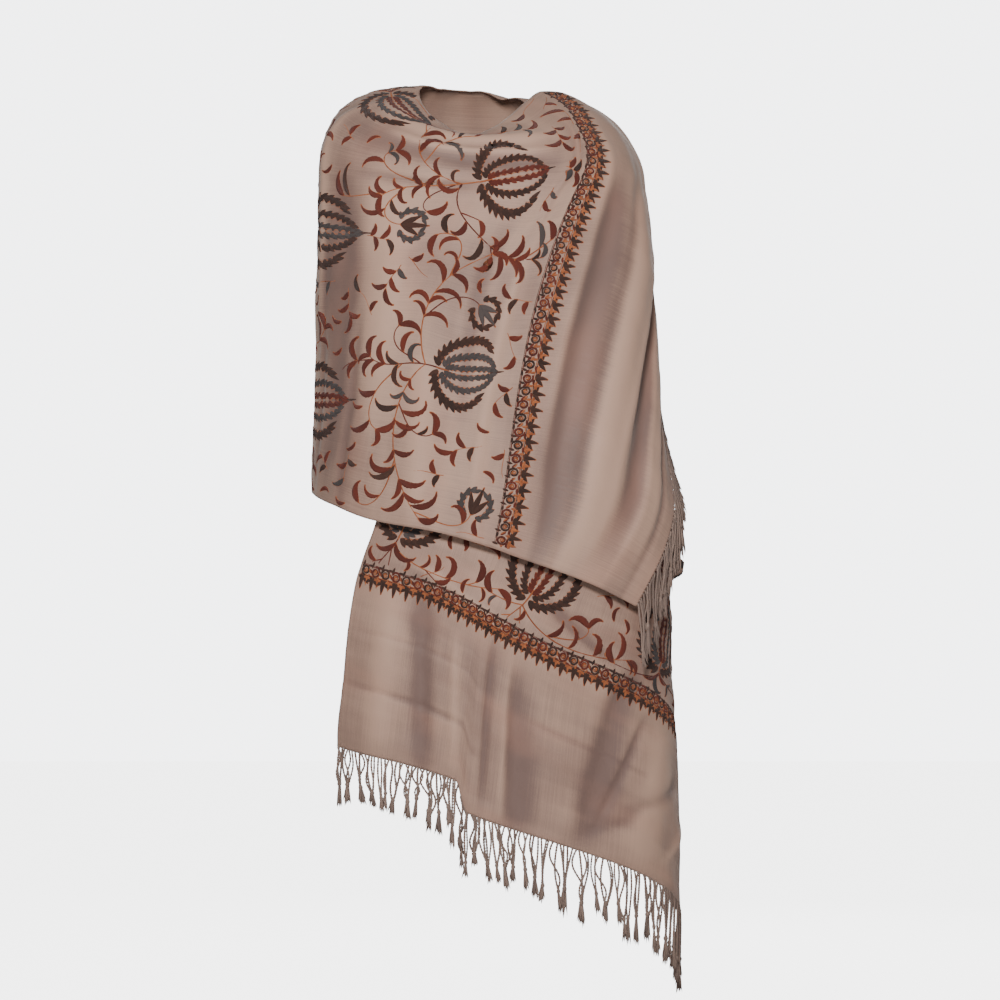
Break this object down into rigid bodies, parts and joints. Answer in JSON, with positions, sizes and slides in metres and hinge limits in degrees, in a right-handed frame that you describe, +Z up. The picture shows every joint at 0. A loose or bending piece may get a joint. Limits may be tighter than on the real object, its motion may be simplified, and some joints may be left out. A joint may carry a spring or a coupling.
{
  "type": "embroidered cotton shawl worn round the shoulders",
  "caption": "Oblong cotton shawl wound once round the shoulders, one end thrown over the right shoulder and the other falling in front, fringed at both ends.",
  "frame": {"origin": "on the shoulder line, midway between the shoulders, at the height where the shawl rests on them", "axes": "+Z up, -Y to the front, +X to the right of someone looking at the front"},
  "size_m": [0.5155, 0.28, 1.2575],
  "materials": {
    "shawl_cloth": "fine twill cotton, beige-pink with a soft sheen, embroidered in rust, brown and grey",
    "embroidery_rust": "fine embroidery wool in orange and red rust, in dense slanting stitches",
    "embroidery_brown": "fine embroidery wool in dark brown and charcoal, in dense slanting stitches",
    "embroidery_grey": "fine embroidery wool in slate grey, in dense slanting stitches",
    "fringe_yarn": "twisted cotton yarn, a little darker than the cloth"
  },
  "bodies": {
    "root": {"falling_end": "shawl_cloth", "right_shoulder_turn": "shawl_cloth", "back_stretch": "shawl_cloth", "left_shoulder_turn": "shawl_cloth", "front_wrap": "shawl_cloth", "thrown_end": "shawl_cloth", "falling_end_fringe": "fringe_yarn", "thrown_end_fringe": "fringe_yarn"}
  },
  "joints": []
}
